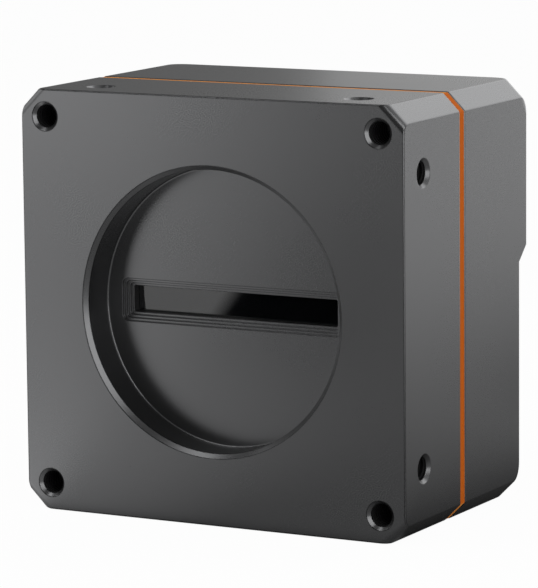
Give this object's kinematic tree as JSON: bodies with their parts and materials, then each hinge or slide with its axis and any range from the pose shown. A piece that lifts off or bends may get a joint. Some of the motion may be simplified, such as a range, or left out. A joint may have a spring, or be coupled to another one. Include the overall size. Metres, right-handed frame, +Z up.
{
  "type": "machine vision camera",
  "caption": "Square machine vision line scan camera with a round threaded lens recess, a slot-shaped sensor window, threaded mounting holes and an orange seam gasket.",
  "frame": {"origin": "centre of the lens opening in the plane of the front face", "axes": "+Y from the front face into the body along the lens axis, +Z up, +X to the right for someone who looks into the lens recess"},
  "size_m": [0.062, 0.0406, 0.062],
  "materials": {
    "housing": "dark grey anodised, fine satin blast",
    "gasket": "matt orange silicone",
    "dark_screws": "black oxide",
    "black_rubber": "matt",
    "window_glass": "polished, coated",
    "steel": "plain",
    "package_ceramic": "dark, unglazed",
    "silicon": "polished",
    "cover_glass": "polished",
    "board": "solder mask, satin",
    "nickel": "nickel plated, satin",
    "socket_plastic": "moulded",
    "chip": "moulded",
    "pad": "soft",
    "tin_plate": "tin plated, bright",
    "gold": "gold plated",
    "capacitor_can": "bright",
    "led": "clear, yellowish",
    "light_pipe": "clear"
  },
  "bodies": {
    "root": {"board_screws": "steel", "clamp_screws": "steel", "front_housing": "housing", "front_spacers": "nickel", "housing_screws": "dark_screws", "interface_board": "board", "interface_link_plug": "socket_plastic", "interface_link_socket": "socket_plastic", "light_pipe": "light_pipe", "memory_chips": "chip", "network_chip": "chip", "network_jack_contacts": "gold", "network_jack_insert": "socket_plastic", "network_jack_shell": "tin_plate", "network_transformer": "chip", "power_capacitors": "capacitor_can", "power_connector_insert": "socket_plastic", "power_connector_nut": "nickel", "power_connector_pins": "gold", "power_connector_seal": "black_rubber", "power_connector_shell": "nickel", "power_inductor": "chip", "processing_board": "board", "processor_chip": "chip", "rear_housing": "housing", "rear_spacers": "nickel", "seam_gasket": "gasket", "sensor_board": "board", "sensor_cover_glass": "cover_glass", "sensor_die": "silicon", "sensor_link_plug": "socket_plastic", "sensor_link_socket": "socket_plastic", "sensor_package": "package_ceramic", "sensor_window": "window_glass", "status_led": "led", "thermal_pad": "pad", "window_clamp": "steel", "window_seal": "black_rubber"}
  },
  "joints": []
}
